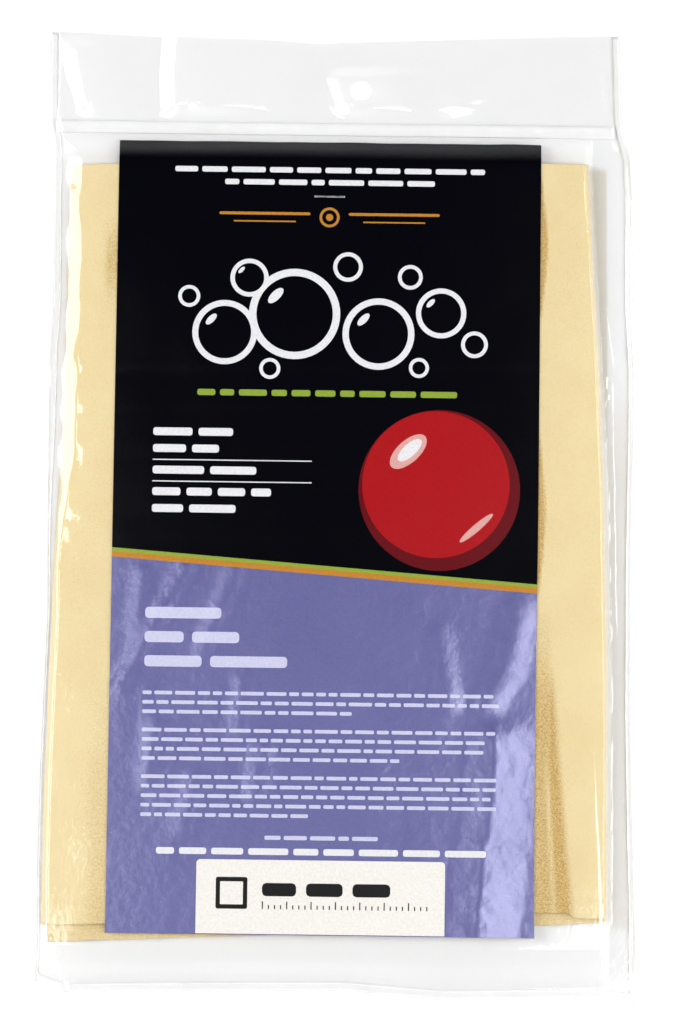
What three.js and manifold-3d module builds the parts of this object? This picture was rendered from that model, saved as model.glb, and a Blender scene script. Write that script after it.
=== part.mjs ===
// A natural chamois leather in its shop pack: one skin folded in half, a printed card stapled to its
// upper leaf, and a clear press-to-close bag whose header has a punched hang hole.
//
// Millimetres. The pack lies on its back: +X is to the right, +Y is towards the header and +Z is out of the
// front. The exported group puts the origin in the middle of the bag's back. Inside the group, y = 0 is the
// top edge of the skin.

import * as THREE from 'three';
import { mergeVertices } from 'three/addons/utils/BufferGeometryUtils.js';
import Module from 'manifold-3d';

const wasm = await Module();
wasm.setup();

// The skin, folded along its right-hand side, with its free edges on the left
const SKIN_THICKNESS = 0.9;
const SKIN_TOP_WIDTH = 215.7;
const SKIN_BOTTOM_WIDTH = 226.8;
const UPPER_LEAF_LENGTH = 316;
const LOWER_LEAF_OVERHANG = 7;
const LOWER_LEAF_INSET = 3;
const FOLD_LEAN = 3;
const EDGE_WAVE = 1.2;
const EDGE_WAVE_COUNT = 3;
const EDGE_LIFT = 0.35;
const EDGE_LIFT_COUNT = 5;
const EDGE_LIFT_WIDTH = 15;
const PLEAT_HEIGHT = 0.55;
const PLEAT_WIDTH = 11;
const PLEAT_LENGTH = 130;
const PLEAT_FROM_FOLD = 16;

// The printed card, its size label and the staple that holds it to the skin
const CARD_WIDTH = 177.8;
const CARD_LENGTH = 330.2;
const CARD_THICKNESS = 0.25;
const CARD_TILT = THREE.MathUtils.degToRad(-0.75);
const CARD_OFF_CENTRE = -4.4;
const CARD_ABOVE_SKIN = 10.7;
const CARD_GAP = 0.15;
const LABEL_WIDTH = 102.2;
const LABEL_HEIGHT = 30.3;
const LABEL_CORNER = 1.6;
const LABEL_THICKNESS = 0.1;
const LABEL_INSET = 0.4;
const STAPLE_CROWN = 12.7;
const STAPLE_LEG = 6;
const STAPLE_WIRE = 0.5;
const STAPLE_WIRE_WIDTH = 0.7;
const STAPLE_BEND = 0.3;
const STAPLE_DROP = 23.6;
const STAPLE_HOLE_CLEARANCE = 0.15;
const CLINCH_CLEARANCE = 0.3;

// The bag
const FILM = 0.1;
const WELD_THICKNESS = 0.1;
const SIDE_WELD_WIDTH = 2.5;
const BOTTOM_WELD_WIDTH = 3.7;
const SIDE_RISE = 2.2;
const FOOT_RISE = 12;
const SIDE_ROOM = 0.5;
const FOLD_ROOM = 9.3;
const FOLD_DRAPE = 14;
const FOOT_ROOM = 6.3;
const FILM_CLEARANCE = 0.3;
const HEADER_HEIGHT = 40;
const HEADER_FALL = 6;
const HANG_HOLE_DIAMETER = 8.5;
const HANG_HOLE_OFF_CENTRE = 10.5;
const HANG_HOLE_DROP = 24;
const LIP_LEVER = 78;
const LIP_GAP = 0.3;

// The press-to-close zip: a rib on the front lip that snaps between two jaws on the back lip
const ZIP_WIDTH = 5;
const ZIP_BASE = 0.2;
const ZIP_END_ROOM = 0.4;
const JAW_HEIGHT = 0.5;
const JAW_TIP = 0.45;
const JAW_ROOT = 0.9;
const SLOT_WIDTH = 1.15;
const RIB_WIDTH = 0.55;
const ZIP_CLEARANCE = 0.1;
const CARD_TO_ZIP = 1.8;
const SLIDE_CLEARANCE = 0.15;

// Heights, from the back of the bag to the front
const backTop = FILM;
const seatTop = backTop + WELD_THICKNESS;
const jawTop = backTop + ZIP_BASE + JAW_HEIGHT;
const lowerLeafBottom = jawTop + SLIDE_CLEARANCE;
const lowerLeafTop = lowerLeafBottom + SKIN_THICKNESS;
const upperLeafBottom = lowerLeafTop + STAPLE_WIRE + 2 * CLINCH_CLEARANCE;
const upperLeafTop = upperLeafBottom + SKIN_THICKNESS;
const cardBottom = upperLeafTop + CARD_GAP;
const cardTop = cardBottom + CARD_THICKNESS;
const roof = cardTop + Math.max(STAPLE_WIRE, LABEL_THICKNESS) + FILM_CLEARANCE;
const zipTop = jawTop + ZIP_CLEARANCE + ZIP_BASE;

// Places along the pack
const lowerLeafLength = UPPER_LEAF_LENGTH + LOWER_LEAF_OVERHANG;
const cardHalfRise = Math.abs(Math.sin(CARD_TILT)) * CARD_WIDTH / 2 + Math.cos(CARD_TILT) * CARD_LENGTH / 2;
const cardCentre = CARD_ABOVE_SKIN - cardHalfRise;
const zipBottomEdge = CARD_ABOVE_SKIN + CARD_TO_ZIP;
const zipCentre = zipBottomEdge + ZIP_WIDTH / 2;
const zipTopEdge = zipCentre + ZIP_WIDTH / 2;
const bagTop = zipCentre + HEADER_HEIGHT;
const footEdge = Math.min(-lowerLeafLength, cardCentre - cardHalfRise) - FOOT_ROOM - FOOT_RISE;
const bagBottom = footEdge - BOTTOM_WELD_WIDTH;
const bagLength = bagTop - bagBottom;
const hingeLine = zipCentre - LIP_LEVER;

// Places across the pack
const pocketHalf = Math.max(SKIN_BOTTOM_WIDTH + SIDE_ROOM + FOLD_ROOM, CARD_WIDTH + 2 * SIDE_ROOM) / 2;
const weldEdge = pocketHalf + SIDE_RISE;
const bagHalf = weldEdge + SIDE_WELD_WIDTH;
const foldBottom = pocketHalf - FOLD_ROOM;
const foldTop = foldBottom - FOLD_LEAN;

// Above the skin the card and the film bend down to the zip on one arc
const mouthFall = roof - zipTop;
const mouthRadius = (zipBottomEdge ** 2 + mouthFall ** 2) / (2 * mouthFall);
const mouthDrop = (y) => (y > 0 ? mouthRadius - Math.sqrt(mouthRadius ** 2 - y ** 2) : 0);

const { lerp, clamp, smoothstep } = THREE.MathUtils;

function material(color, roughness, metalness = 0, opacity = 1) {
  return new THREE.MeshStandardMaterial({ color, roughness, metalness, opacity, transparent: opacity < 1 });
}

const clearFilm = () => material(0xeaf0f1, 0.12, 0, 0.25);
const milkyFilm = () => material(0xf2f5f5, 0.25, 0, 0.45);

function piece(name, geometry, finish) {
  geometry.computeVertexNormals();
  const mesh = new THREE.Mesh(geometry, finish);
  mesh.name = name;
  return mesh;
}

function steps(from, to, count) {
  return Array.from({ length: count + 1 }, (_, k) => lerp(from, to, k / count));
}

function extruded(outline, depth, curveSegments) {
  return new THREE.ExtrudeGeometry(outline, { depth, curveSegments, bevelEnabled: false });
}

// A closed sheet between two faces, each given as a point for column i and row j. Going along the columns,
// then along the rows, turns counterclockwise seen from outside the front face.
function closedSheet(columns, rows, front, back) {
  const points = [];
  for (const face of [front, back]) {
    for (let j = 0; j < rows; j++) {
      for (let i = 0; i < columns; i++) points.push(...face(i, j));
    }
  }
  const index = [];
  const onFront = (i, j) => j * columns + i;
  const onBack = (i, j) => columns * rows + onFront(i, j);
  const quad = (a, b, c, d) => index.push(a, b, c, a, c, d);
  const lastColumn = columns - 1;
  const lastRow = rows - 1;
  for (let j = 0; j < lastRow; j++) {
    for (let i = 0; i < lastColumn; i++) {
      quad(onFront(i, j), onFront(i + 1, j), onFront(i + 1, j + 1), onFront(i, j + 1));
      quad(onBack(i, j), onBack(i, j + 1), onBack(i + 1, j + 1), onBack(i + 1, j));
    }
    quad(onFront(0, j), onFront(0, j + 1), onBack(0, j + 1), onBack(0, j));
    const last = [onBack(lastColumn, j), onBack(lastColumn, j + 1)];
    quad(...last, onFront(lastColumn, j + 1), onFront(lastColumn, j));
  }
  for (let i = 0; i < lastColumn; i++) {
    quad(onBack(i, 0), onBack(i + 1, 0), onFront(i + 1, 0), onFront(i, 0));
    quad(onFront(i, lastRow), onFront(i + 1, lastRow), onBack(i + 1, lastRow), onBack(i, lastRow));
  }
  const geometry = new THREE.BufferGeometry();
  geometry.setAttribute('position', new THREE.Float32BufferAttribute(points, 3));
  geometry.setIndex(index);
  return geometry;
}

// A solid that can be cut, and its mesh again
function solidOf(geometry) {
  const bare = geometry.clone();
  bare.deleteAttribute('normal');
  bare.deleteAttribute('uv');
  const merged = mergeVertices(bare);
  return new wasm.Manifold(new wasm.Mesh({
    numProp: 3,
    vertProperties: new Float32Array(merged.attributes.position.array),
    triVerts: new Uint32Array(merged.index.array),
  }));
}

function cutFrom(geometry, cutters) {
  let solid = solidOf(geometry);
  for (const cutter of cutters) solid = solid.subtract(solidOf(cutter));
  const mesh = solid.getMesh();
  const result = new THREE.BufferGeometry();
  result.setAttribute('position', new THREE.BufferAttribute(new Float32Array(mesh.vertProperties), 3));
  result.setIndex(new THREE.BufferAttribute(new Uint32Array(mesh.triVerts), 1));
  return result;
}

// Film: height of the front film's inner face at any place on the bag. Beside the fold it drapes down to the
// weld, and it draws tight towards the end of the zip.
function sideRise(x, y) {
  const drape = lerp(FOLD_DRAPE, SIDE_RISE, smoothstep(y, 0, zipBottomEdge));
  return smoothstep(weldEdge - Math.abs(x), 0, x > 0 ? drape : SIDE_RISE);
}

function roofAlong(y) {
  if (y < footEdge + FOOT_RISE) return lerp(seatTop, roof, smoothstep(y, footEdge, footEdge + FOOT_RISE));
  if (y <= zipBottomEdge) return roof - mouthDrop(y);
  return lerp(zipTop, seatTop, smoothstep(y, zipTopEdge, zipTopEdge + HEADER_FALL));
}

function filmHeight(x, y) {
  return lerp(seatTop, roofAlong(y), sideRise(x, y));
}

const acrossBag = [
  -bagHalf,
  ...steps(-weldEdge, -pocketHalf, 5),
  -pocketHalf / 2,
  0,
  pocketHalf / 2,
  ...steps(weldEdge - FOLD_DRAPE, pocketHalf, 7).slice(0, -1),
  ...steps(pocketHalf, weldEdge, 5),
  bagHalf,
];

function filmSheet(alongBag) {
  const inner = (i, j) => [acrossBag[i], alongBag[j], filmHeight(acrossBag[i], alongBag[j])];
  const outer = (i, j) => {
    const [x, y, z] = inner(i, j);
    return [x, y, z + FILM];
  };
  return closedSheet(acrossBag.length, alongBag.length, outer, inner);
}

function frontPanel() {
  const foot = steps(footEdge, footEdge + FOOT_RISE, 8);
  const along = [bagBottom, ...foot, ...steps(footEdge + FOOT_RISE, hingeLine - LIP_GAP / 2, 4).slice(1)];
  return piece('bag_front_panel', filmSheet(along), clearFilm());
}

function hangHole() {
  const punch = new THREE.CylinderGeometry(HANG_HOLE_DIAMETER / 2, HANG_HOLE_DIAMETER / 2, 2 * roof, 36);
  punch.rotateX(Math.PI / 2);
  return punch.translate(HANG_HOLE_OFF_CENTRE, bagTop - HANG_HOLE_DROP, 0);
}

function frontLip() {
  const along = [
    ...steps(hingeLine + LIP_GAP / 2, 0, 3),
    ...steps(0, zipBottomEdge, 10).slice(1),
    ...steps(zipTopEdge, zipTopEdge + HEADER_FALL, 6),
    bagTop,
  ];
  return piece('front_lip', cutFrom(filmSheet(along), [hangHole()]), clearFilm());
}

function backPanel() {
  const outline = new THREE.Shape();
  outline.moveTo(-bagHalf, bagBottom);
  outline.lineTo(bagHalf, bagBottom);
  outline.lineTo(bagHalf, bagTop);
  outline.lineTo(-bagHalf, bagTop);
  outline.closePath();
  const hole = new THREE.Path();
  hole.absarc(HANG_HOLE_OFF_CENTRE, bagTop - HANG_HOLE_DROP, HANG_HOLE_DIAMETER / 2, 0, 2 * Math.PI, true);
  outline.holes.push(hole);
  return piece('bag_back_panel', extruded(outline, FILM, 36), clearFilm());
}

// Welds: the fused layer between the two films
function weld(name, width, length, x, y) {
  const strip = new THREE.BoxGeometry(width, length, WELD_THICKNESS);
  strip.translate(x, y, backTop + WELD_THICKNESS / 2);
  return piece(name, strip, milkyFilm());
}

function welds() {
  const middle = (bagTop + bagBottom) / 2;
  const sideCentre = bagHalf - SIDE_WELD_WIDTH / 2;
  return [
    weld('left_side_weld', SIDE_WELD_WIDTH, bagLength, -sideCentre, middle),
    weld('right_side_weld', SIDE_WELD_WIDTH, bagLength, sideCentre, middle),
    weld('bottom_weld', 2 * weldEdge, BOTTOM_WELD_WIDTH, 0, bagBottom + BOTTOM_WELD_WIDTH / 2),
  ];
}

// Zip tracks: profiles drawn in the plane across the track, then run along X between the welds
function track(name, profile) {
  const length = 2 * (pocketHalf - ZIP_END_ROOM);
  const bar = extruded(profile, length, 10);
  const toRow = new THREE.Matrix4().makeBasis(
    new THREE.Vector3(0, 1, 0),
    new THREE.Vector3(0, 0, 1),
    new THREE.Vector3(1, 0, 0),
  );
  bar.applyMatrix4(toRow);
  bar.translate(-length / 2, zipCentre, 0);
  return piece(name, bar, milkyFilm());
}

function zipGroove() {
  const floor = backTop + ZIP_BASE;
  const slot = SLOT_WIDTH / 2;
  const profile = new THREE.Shape();
  profile.moveTo(-ZIP_WIDTH / 2, backTop);
  profile.lineTo(ZIP_WIDTH / 2, backTop);
  profile.lineTo(ZIP_WIDTH / 2, floor);
  profile.lineTo(slot + JAW_ROOT, floor);
  profile.lineTo(slot + JAW_TIP, jawTop);
  profile.lineTo(slot, jawTop);
  profile.lineTo(slot, floor);
  profile.lineTo(-slot, floor);
  profile.lineTo(-slot, jawTop);
  profile.lineTo(-slot - JAW_TIP, jawTop);
  profile.lineTo(-slot - JAW_ROOT, floor);
  profile.lineTo(-ZIP_WIDTH / 2, floor);
  profile.closePath();
  return track('zip_groove_track', profile);
}

function zipRib() {
  const base = zipTop - ZIP_BASE;
  const radius = RIB_WIDTH / 2;
  const tipCentre = backTop + ZIP_BASE + ZIP_CLEARANCE + radius;
  const profile = new THREE.Shape();
  profile.moveTo(ZIP_WIDTH / 2, zipTop);
  profile.lineTo(-ZIP_WIDTH / 2, zipTop);
  profile.lineTo(-ZIP_WIDTH / 2, base);
  profile.lineTo(-radius, base);
  profile.lineTo(-radius, tipCentre);
  profile.absarc(0, tipCentre, radius, Math.PI, 2 * Math.PI, false);
  profile.lineTo(radius, base);
  profile.lineTo(ZIP_WIDTH / 2, base);
  profile.closePath();
  return track('zip_rib_track', profile);
}

// The card and what is fixed to it share one group, turned by the card's tilt
function cardFrame() {
  const frame = new THREE.Group();
  frame.position.set(CARD_OFF_CENTRE, cardCentre, 0);
  frame.rotation.z = CARD_TILT;
  frame.updateMatrix();
  return frame;
}

const stapleAlong = CARD_LENGTH / 2 - STAPLE_DROP;
const legCentre = STAPLE_CROWN / 2 - STAPLE_WIRE / 2;

function legHoles() {
  const clear = 2 * STAPLE_HOLE_CLEARANCE;
  return [-legCentre, legCentre].map((x) => {
    const hole = new THREE.BoxGeometry(STAPLE_WIRE + clear, STAPLE_WIRE_WIDTH + clear, 2 * roof);
    return hole.translate(x, stapleAlong, 0);
  });
}

function insertCard() {
  const across = steps(-CARD_WIDTH / 2, CARD_WIDTH / 2, 6);
  const bendStart = CARD_LENGTH / 2 - CARD_ABOVE_SKIN - CARD_WIDTH * Math.abs(Math.sin(CARD_TILT));
  const along = [...steps(-CARD_LENGTH / 2, bendStart, 4), ...steps(bendStart, CARD_LENGTH / 2, 10).slice(1)];
  const under = (i, j) => {
    const y = cardCentre + across[i] * Math.sin(CARD_TILT) + along[j] * Math.cos(CARD_TILT);
    return [across[i], along[j], cardBottom - mouthDrop(y)];
  };
  const face = (i, j) => {
    const [x, y, z] = under(i, j);
    return [x, y, z + CARD_THICKNESS];
  };
  const sheet = closedSheet(across.length, along.length, face, under);
  return piece('insert_card', cutFrom(sheet, legHoles()), material(0x24243a, 0.35));
}

function sizeLabel() {
  const half = LABEL_WIDTH / 2;
  const bottom = LABEL_INSET - CARD_LENGTH / 2;
  const top = bottom + LABEL_HEIGHT;
  const outline = new THREE.Shape();
  outline.moveTo(-half, bottom);
  outline.lineTo(half, bottom);
  outline.lineTo(half, top - LABEL_CORNER);
  outline.absarc(half - LABEL_CORNER, top - LABEL_CORNER, LABEL_CORNER, 0, Math.PI / 2, false);
  outline.lineTo(-half + LABEL_CORNER, top);
  outline.absarc(-half + LABEL_CORNER, top - LABEL_CORNER, LABEL_CORNER, Math.PI / 2, Math.PI, false);
  outline.closePath();
  const sheet = extruded(outline, LABEL_THICKNESS, 6);
  sheet.translate(0, 0, cardTop);
  return piece('size_label', sheet, material(0xf5f1ea, 0.5));
}

// Staple: the wire's outline in the XZ plane, from crown to clinched legs, extruded by the wire's width
function staple() {
  const outer = STAPLE_CROWN / 2;
  const inner = outer - STAPLE_WIRE;
  const crownTop = cardTop + STAPLE_WIRE;
  const clinchTop = upperLeafBottom - CLINCH_CLEARANCE;
  const clinchBottom = clinchTop - STAPLE_WIRE;
  const clinchReach = STAPLE_LEG - (crownTop - clinchBottom);
  const bend = STAPLE_BEND;
  const outline = new THREE.Shape();
  outline.moveTo(-outer + bend, crownTop);
  outline.absarc(-outer + bend, crownTop - bend, bend, Math.PI / 2, Math.PI, false);
  outline.absarc(-outer + bend, clinchBottom + bend, bend, Math.PI, 1.5 * Math.PI, false);
  outline.lineTo(-outer + clinchReach, clinchBottom);
  outline.lineTo(-outer + clinchReach, clinchTop);
  outline.lineTo(-inner, clinchTop);
  outline.lineTo(-inner, cardTop);
  outline.lineTo(inner, cardTop);
  outline.lineTo(inner, clinchTop);
  outline.lineTo(outer - clinchReach, clinchTop);
  outline.lineTo(outer - clinchReach, clinchBottom);
  outline.absarc(outer - bend, clinchBottom + bend, bend, 1.5 * Math.PI, 2 * Math.PI, false);
  outline.absarc(outer - bend, crownTop - bend, bend, 0, Math.PI / 2, false);
  outline.closePath();
  const wire = extruded(outline, STAPLE_WIRE_WIDTH, 5);
  wire.rotateX(Math.PI / 2);
  wire.translate(0, stapleAlong + STAPLE_WIRE_WIDTH / 2, 0);
  return piece('staple', wire, material(0xc4c6c8, 0.3, 1));
}

// Skin: stations run round the section, from the lower free edge, through the fold, to the upper free edge
const foldRadius = (upperLeafTop - lowerLeafBottom - SKIN_THICKNESS) / 2;
const foldMiddle = lowerLeafBottom + SKIN_THICKNESS / 2 + foldRadius;
const pleatStart = PLEAT_FROM_FOLD - PLEAT_WIDTH / 2;
const pleatShares = steps(pleatStart, pleatStart + PLEAT_WIDTH, 4).map((reach) => reach / SKIN_TOP_WIDTH);
const edgeShare = 1 - EDGE_LIFT_WIDTH / SKIN_TOP_WIDTH;
const leafShares = [0, ...pleatShares, ...steps(pleatShares.at(-1), edgeShare, 5).slice(1), 1];
const SKIN_ROWS = 18;
const FOLD_STEPS = 7;
const foldTurns = steps(-Math.PI / 2, Math.PI / 2, FOLD_STEPS).slice(1, -1);
const stations = [
  ...leafShares.map((share) => ({ side: -1, share })).reverse(),
  ...foldTurns.map((turn) => ({ side: 0, share: 0, turn })),
  ...leafShares.map((share) => ({ side: 1, share })),
];

function foldEdge(y) {
  return lerp(foldTop, foldBottom, clamp(-y / UPPER_LEAF_LENGTH, 0, 1));
}

// Folded width along the skin: the free edges are cut by hand, so they wander a little
function leafWidth(side, y) {
  const share = clamp(-y / UPPER_LEAF_LENGTH, 0, 1);
  const inset = side < 0 ? LOWER_LEAF_INSET : 0;
  const wave = EDGE_WAVE * Math.sin(EDGE_WAVE_COUNT * Math.PI * share) ** 2;
  return lerp(SKIN_TOP_WIDTH, SKIN_BOTTOM_WIDTH, share) - inset - wave;
}

// A soft ridge in the upper leaf beside the fold, and a free edge that lifts here and there
function leafLift(x, y, share) {
  const reach = smoothstep(-y, UPPER_LEAF_LENGTH - PLEAT_LENGTH, UPPER_LEAF_LENGTH);
  const off = (x - (foldEdge(y) - PLEAT_FROM_FOLD)) / (PLEAT_WIDTH / 2);
  const pleat = Math.abs(off) < 1 ? PLEAT_HEIGHT * reach * Math.cos(off * Math.PI / 2) ** 2 : 0;
  const wave = Math.sin(EDGE_LIFT_COUNT * Math.PI * y / UPPER_LEAF_LENGTH) ** 2;
  return pleat + EDGE_LIFT * wave * smoothstep(share, edgeShare, 1);
}

function skinPoint(station, row, offset) {
  const { side, share, turn } = station;
  const lowness = side < 0 ? share : 0;
  const length = lerp(UPPER_LEAF_LENGTH, lowerLeafLength, lowness);
  const y = -length * (1 - row / (SKIN_ROWS - 1));
  const foldCentre = foldEdge(y) - foldRadius - SKIN_THICKNESS / 2;
  if (side === 0) {
    const reach = foldRadius + offset;
    return [foldCentre + reach * Math.cos(turn), y, foldMiddle + reach * Math.sin(turn)];
  }
  const freeEdge = foldEdge(y) - leafWidth(side, y);
  const x = lerp(foldCentre, freeEdge, share);
  const lift = side > 0 ? leafLift(x, y, share) : 0;
  return [x, y, foldMiddle + side * (foldRadius + offset) + lift];
}

function chamoisSkin(frame) {
  const half = SKIN_THICKNESS / 2;
  const insideFold = (i, j) => skinPoint(stations[i], j, -half);
  const outsideFold = (i, j) => skinPoint(stations[i], j, half);
  const sheet = closedSheet(stations.length, SKIN_ROWS, insideFold, outsideFold);
  const clinchDepth = lowerLeafTop + CLINCH_CLEARANCE / 2;
  const holes = legHoles().map((hole) => hole.translate(0, 0, clinchDepth + roof).applyMatrix4(frame.matrix));
  return piece('chamois_skin', cutFrom(sheet, holes), material(0xecd79f, 0.9));
}

const chamoisPack = new THREE.Group();
chamoisPack.position.y = -(bagTop + bagBottom) / 2;

const bag = new THREE.Group();
bag.add(backPanel(), frontPanel(), ...welds(), zipGroove());

const openingLip = new THREE.Group();
openingLip.add(frontLip(), zipRib());

const contents = new THREE.Group();
const stapledCard = cardFrame();
stapledCard.add(insertCard(), sizeLabel(), staple());
contents.add(chamoisSkin(stapledCard), stapledCard);

chamoisPack.add(bag, openingLip, contents);

export default chamoisPack;
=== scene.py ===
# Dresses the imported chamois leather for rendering: the folded skin, the printed card with its label and
# staple, and the clear press-to-close bag. Lengths are written in millimetres and go out in metres.

import math
import random

import bpy
import numpy as np
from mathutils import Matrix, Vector, noise
from mathutils.geometry import delaunay_2d_cdt


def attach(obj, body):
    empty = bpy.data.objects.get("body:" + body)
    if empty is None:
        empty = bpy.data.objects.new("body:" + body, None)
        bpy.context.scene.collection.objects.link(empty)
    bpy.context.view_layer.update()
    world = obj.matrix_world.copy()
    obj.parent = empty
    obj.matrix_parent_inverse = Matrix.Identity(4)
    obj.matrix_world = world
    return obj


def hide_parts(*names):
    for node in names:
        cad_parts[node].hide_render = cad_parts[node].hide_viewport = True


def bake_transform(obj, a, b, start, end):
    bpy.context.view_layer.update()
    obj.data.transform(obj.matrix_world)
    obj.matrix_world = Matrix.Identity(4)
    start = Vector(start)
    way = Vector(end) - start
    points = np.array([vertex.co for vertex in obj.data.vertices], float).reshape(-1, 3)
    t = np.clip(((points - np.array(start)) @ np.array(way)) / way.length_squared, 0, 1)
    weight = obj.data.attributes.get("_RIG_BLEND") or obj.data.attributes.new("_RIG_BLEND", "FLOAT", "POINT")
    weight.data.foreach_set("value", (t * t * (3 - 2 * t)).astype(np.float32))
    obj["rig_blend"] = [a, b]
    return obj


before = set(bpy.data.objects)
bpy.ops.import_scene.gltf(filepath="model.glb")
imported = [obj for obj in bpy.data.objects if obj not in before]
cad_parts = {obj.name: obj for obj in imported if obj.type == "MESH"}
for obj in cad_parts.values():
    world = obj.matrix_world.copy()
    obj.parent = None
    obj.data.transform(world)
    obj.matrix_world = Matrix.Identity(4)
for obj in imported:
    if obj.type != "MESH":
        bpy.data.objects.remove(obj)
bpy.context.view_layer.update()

MM = 0.001

# Heights of the layers, as in the CAD model
LOWER_LEAF = 0.95
LEAF_GAP = 1.1
SKIN = 0.9
CARD_UNDER = 4.0
CARD_THICK = 0.25
LABEL_THICK = 0.1
FILM_ROOF = 5.05
FILM_OVER_ZIP = 1.3
FILM_SEAT = 0.3
BACK_FILM = 0.06

# Half the sides of the plain bag
HALF_WIDTH = 123.0
HALF_LENGTH = 200.0

# Stretch along y where the pocket gives way to the flat header
MOUTH = (150, 158)

# Places along and across the pack
SKIN_TOP = 145.0
UPPER_LEAF_END = -171.0
LOWER_LEAF_END = -178.0
FOLD_BOTTOM = 109.0
LEAF_WIDTH = 226.0
CARD_SIZE = (176.4, 330.2)
CARD_CENTRE = (-4.4, -10.55)
CARD_TILT = math.radians(-0.75)
LABEL_SIZE = (102.2, 30.3)
LABEL_CORNER = 1.6
LABEL_INSET = 0.4
PRINT_GRID = 2.5
PAPER_EDGE = 0.12
ZIP_Y = 160.0
ZIP_TILT = -0.0128
ZIP_HALF = 2.5
HOLE = (10.5, 176.0)
HOLE_RADIUS = 4.2
HINGE_Y = 82.0
WELD_WIDTH = 2.6
FOOT_WELD = 3.7

# Folds in the header: the middle of the steep flank at y 180, its lean, the widths of the steep and the slow
# flank, the height, and the stretch along y
HEADER_FOLDS = [(-109, -0.24, 9, 22, 2.5, 158, 192), (-70.5, 0.05, 10.5, 70, 3.4, 158, 205),
                (-60.5, -0.1, 5.5, 45, 1.1, 156, 176), (-0.5, -0.25, 10, 60, 3.3, 156, 182),
                (30, -0.6, 14, 30, 1.0, 158, 176), (62, 0.95, 6, 40, 0.8, 170, 205)]

# Stations along the side welds, the bottom weld and the zip
SIDE_STATIONS = np.linspace(-199.5, 199.5, 330)
FOOT_STATIONS = np.linspace(-121, 121, 240)
ZIP_STATIONS = np.linspace(-117.4, 116.6, 190)

# The lip follows its hinge fully within the first x and not at all beyond the second
PEEL_FREE, PEEL_HELD = 46, 118.5

# The bag's outline, read from the photograph: x of the side edges by y, and y of the ends by x
LEFT_EDGE = [(-200, -123.6), (-174, -122.9), (-149, -123.1), (-106, -122.2), (-42, -119.5), (0, -119.7),
             (64, -119.3), (86, -117.9), (150, -117.8), (157, -118.2), (164, -119.6), (200, -119.5)]
RIGHT_EDGE = [(-200, 123.3), (-161, 123.2), (-127, 122.6), (-85, 122.2), (-20, 122.9), (33, 124.4),
              (58, 124.6), (85, 123.4), (131, 123.8), (148, 122.9), (157, 120.6), (164, 119.5), (200, 118.9)]
FOOT_EDGE = [(-123, 5.5), (-111, 1.2), (-62, 1.8), (3, 1.8), (44, -1.7), (106, -1.0), (123, -3.6)]
HEAD_EDGE = [(-123, 2.0), (-70, -0.7), (-30, -1.9), (-8, -3.5), (12, -2.7), (60, -1.5), (123, -0.1)]

# The skin's free edge and its fold, read the same way: x by y
SKIN_EDGE = [(-175, -121.1), (-120, -120.3), (-65, -118.5), (-37, -117.5), (10, -114.8), (47, -112.6),
             (100, -111.6), (145, -110.2)]
FOLD_EDGE = [(-175, 110.2), (-168, 110.9), (-137, 111.4), (-53, 111.6), (10, 110.9), (51, 109.5), (75, 108.5),
             (99, 107.2), (123, 106.2), (145, 105.5)]

# A crease in the film above the lower end of the fold: x by y
FOOT_LINE = [(-190, 109.2), (-168, 108.7), (-144, 108.0), (-127, 107.1), (-92, 106.2)]

# Other creases in the film: the ends of a diagonal one at the upper right, the middle and reach of a crumpled
# patch beside the fold, the start, run and length of one at the lower left corner, and x of one in the foot
DIAGONAL = ((115.9, 58.5), (109.1, 118.0))
CRUMPLED, CRUMPLED_REACH = (111.5, 50.0), (6.0, 9.0)
CORNER, CORNER_RUN, CORNER_LENGTH = (-117.5, -178.4), (-6.7, 20.6), 21.66
FOOT_CREASE = -62.2
STEP_SLOPE = 0.17


def lerp(a, b, t):
    return a + (b - a) * t


def ramp(value, low, high):
    t = min(1.0, max(0.0, (value - low) / (high - low)))
    return t * t * (3 - 2 * t)


def table(points, value):
    return float(np.interp(value, [p[0] for p in points], [p[1] for p in points]))


def wave(x, y, size, seed=0.0, stretch=1.0):
    return noise.noise(Vector((x / size, y / (size * stretch), seed)))


def bump(x, centre, width):
    """A smooth hump of height 1."""
    t = abs(x - centre) / width
    return 0.0 if t >= 1 else (1 - t * t) ** 2


def make(name, points, faces, materials, body, replaces):
    """A smooth mesh piece from points in millimetres. body is None for a piece that is blended later."""
    mesh = bpy.data.meshes.new(name)
    mesh.from_pydata([[c * MM for c in p] for p in points], [], faces)
    for material in materials:
        mesh.materials.append(material)
    mesh.shade_smooth()
    mesh.update()
    piece = bpy.data.objects.new(name, mesh)
    bpy.context.scene.collection.objects.link(piece)
    if body:
        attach(piece, body)
    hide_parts(*replaces)
    return piece


def compact(faces):
    """The corners that the faces use, in order, and the faces with their corners renumbered."""
    used = sorted({k for f in faces for k in f})
    renumber = {k: n for n, k in enumerate(used)}
    return used, [tuple(renumber[k] for k in f) for f in faces]


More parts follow.
